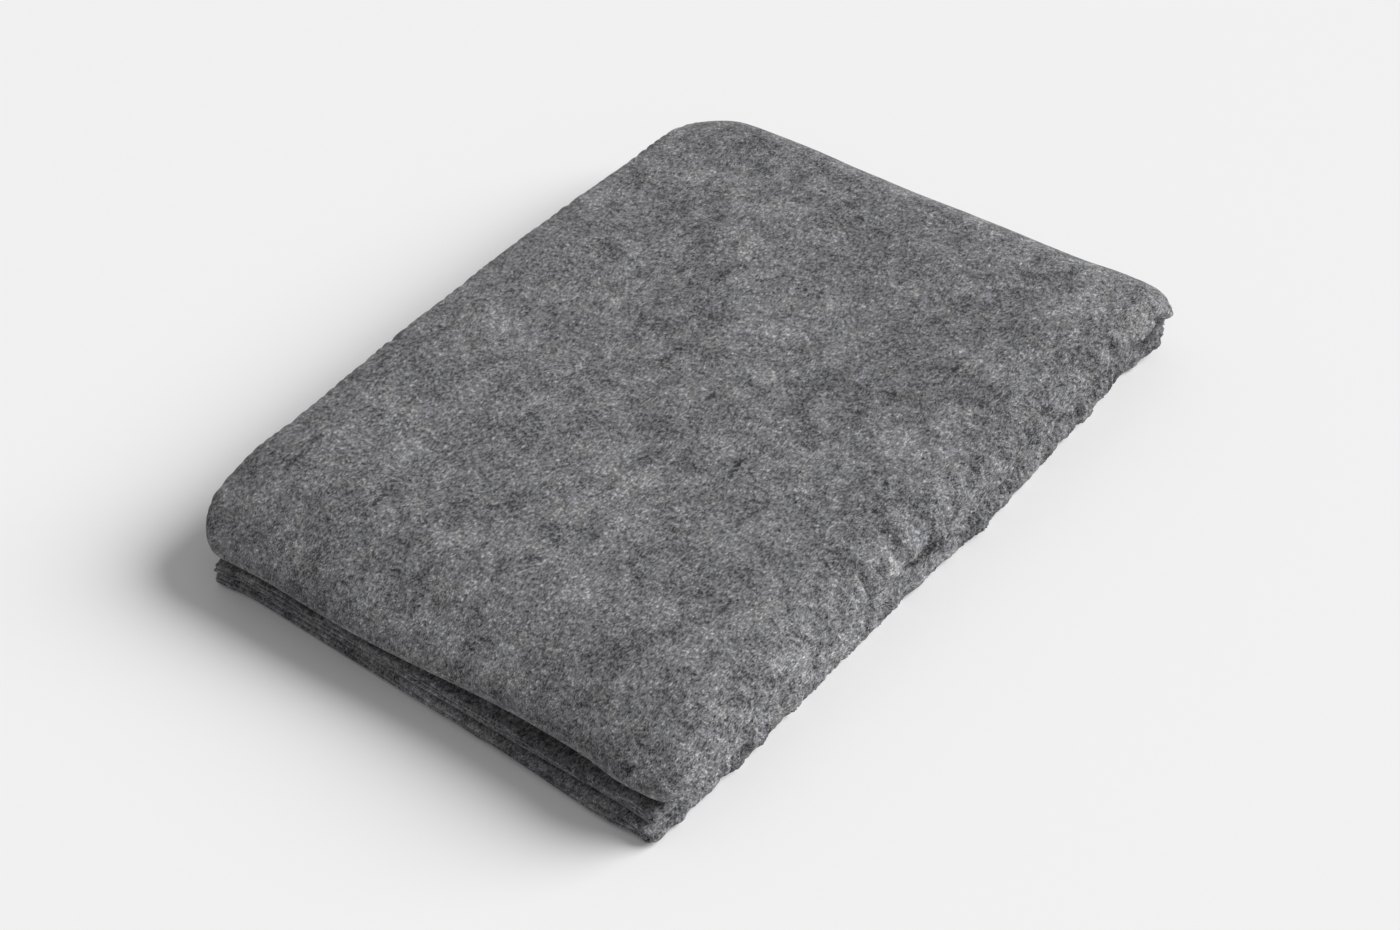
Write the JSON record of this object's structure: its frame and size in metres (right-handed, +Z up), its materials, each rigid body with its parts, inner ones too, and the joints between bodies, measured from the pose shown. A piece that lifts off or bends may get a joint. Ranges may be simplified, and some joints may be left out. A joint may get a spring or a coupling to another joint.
{
  "type": "folded throw blanket",
  "caption": "Thick grey melange felt throw, folded to a flat rectangular pile whose upper half opens like a book about the back fold.",
  "frame": {"origin": "centre of the pile's footprint, on the face it rests on", "axes": "+Y along the pile's length from the soft front fold to the back fold, +X across the pile, +Z up"},
  "size_m": [0.3274, 0.4346, 0.0509],
  "materials": {
    "felt": "matt melange felt, mid grey with lighter and darker fibres"
  },
  "bodies": {
    "lower_half": {"bottom_panel_ply_1": "felt", "bottom_panel_ply_2": "felt", "bottom_panel_ply_3": "felt", "bottom_panel_ply_4": "felt", "lower_inner_panel_ply_1": "felt", "lower_inner_panel_ply_2": "felt", "lower_inner_panel_ply_3": "felt", "lower_inner_panel_ply_4": "felt", "back_inner_fold_ply_1": "felt", "back_inner_fold_ply_2": "felt", "back_inner_fold_ply_3": "felt", "back_inner_fold_ply_4": "felt", "back_outer_fold_ply_1": "felt", "back_outer_fold_ply_2": "felt", "back_outer_fold_ply_3": "felt", "back_outer_fold_ply_4": "felt"},
    "upper_half": {"upper_inner_panel_ply_1": "felt", "upper_inner_panel_ply_2": "felt", "upper_inner_panel_ply_3": "felt", "upper_inner_panel_ply_4": "felt", "top_panel_ply_1": "felt", "top_panel_ply_2": "felt", "top_panel_ply_3": "felt", "top_panel_ply_4": "felt", "front_fold_ply_1": "felt", "front_fold_ply_2": "felt", "front_fold_ply_3": "felt", "front_fold_ply_4": "felt"}
  },
  "joints": [
    {"name": "back_fold_hinge", "type": "hinge", "parent": "lower_half", "child": "upper_half", "pos_m": [0, 0.1918, 0.02545], "axis": [-1, 0, 0], "range_deg": [0, 179.9], "deforming": ["back_inner_fold_ply_1", "back_inner_fold_ply_2", "back_inner_fold_ply_3", "back_inner_fold_ply_4", "back_outer_fold_ply_1", "back_outer_fold_ply_2", "back_outer_fold_ply_3", "back_outer_fold_ply_4"]}
  ]
}
